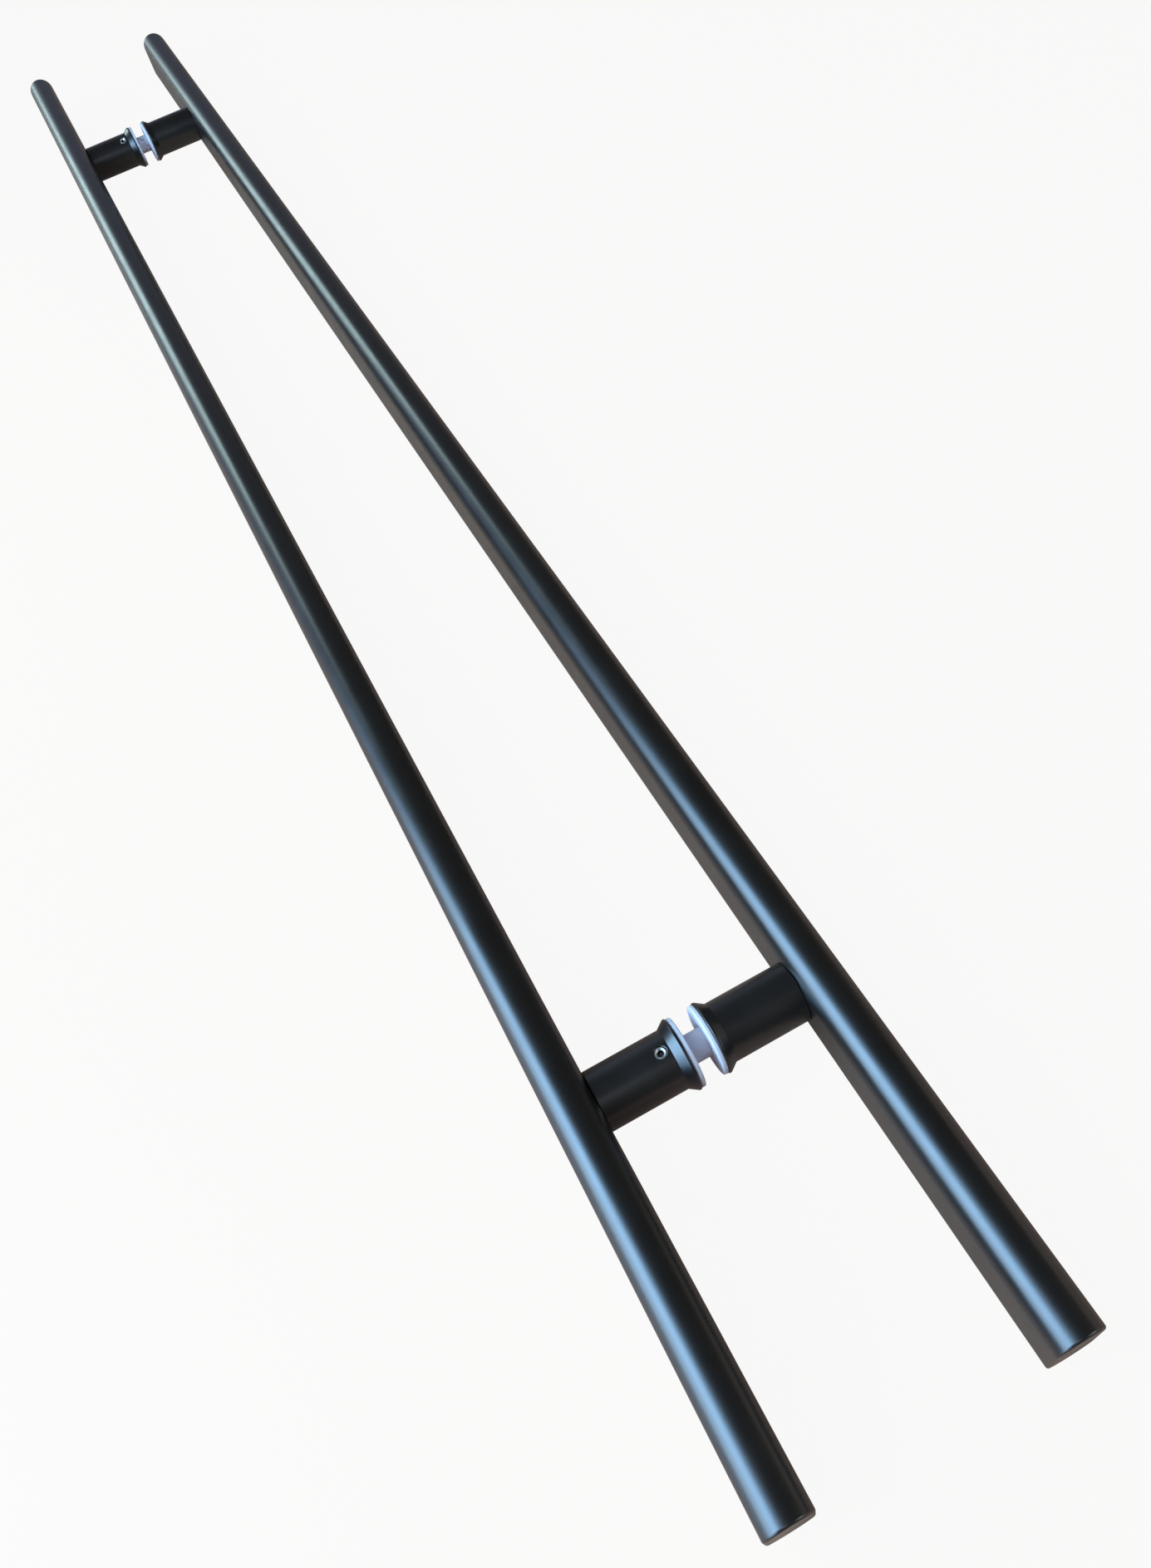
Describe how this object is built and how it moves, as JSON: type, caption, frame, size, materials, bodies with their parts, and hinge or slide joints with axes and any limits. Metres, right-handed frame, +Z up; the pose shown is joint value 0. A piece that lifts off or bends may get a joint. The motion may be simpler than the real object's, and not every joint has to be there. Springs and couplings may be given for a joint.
{
  "type": "ladder pull handle",
  "caption": "Back to back ladder pull for a glass door: long flat-oval black bars on round posts with flared feet, white gaskets and sleeves between them, and locking grub screws.",
  "frame": {"origin": "middle of the door panel, midway between the two fixings and halfway up the bars' section", "axes": "+X along the bars to their upper ends as mounted, +Y from the outside handle to the inside handle, +Z up, with the set lying on its side"},
  "size_m": [1.2, 0.126, 0.038],
  "materials": {
    "satin_black": "satin",
    "white_plastic": "matte",
    "bright_steel": "satin"
  },
  "bodies": {
    "root": {"inside_bar": "satin_black", "outside_bar": "satin_black", "inside_upper_cap": "satin_black", "inside_upper_post": "satin_black", "inside_lower_cap": "satin_black", "inside_lower_post": "satin_black", "outside_upper_cap": "satin_black", "outside_upper_post": "satin_black", "outside_lower_cap": "satin_black", "outside_lower_post": "satin_black", "upper_sleeve": "white_plastic", "lower_sleeve": "white_plastic", "inside_upper_gasket": "white_plastic", "inside_lower_gasket": "white_plastic", "outside_upper_gasket": "white_plastic", "outside_lower_gasket": "white_plastic", "rivet_nuts": "bright_steel", "set_studs": "bright_steel", "through_studs": "bright_steel", "grub_screws": "bright_steel", "upper_boss": "bright_steel", "lower_boss": "bright_steel"}
  },
  "joints": []
}
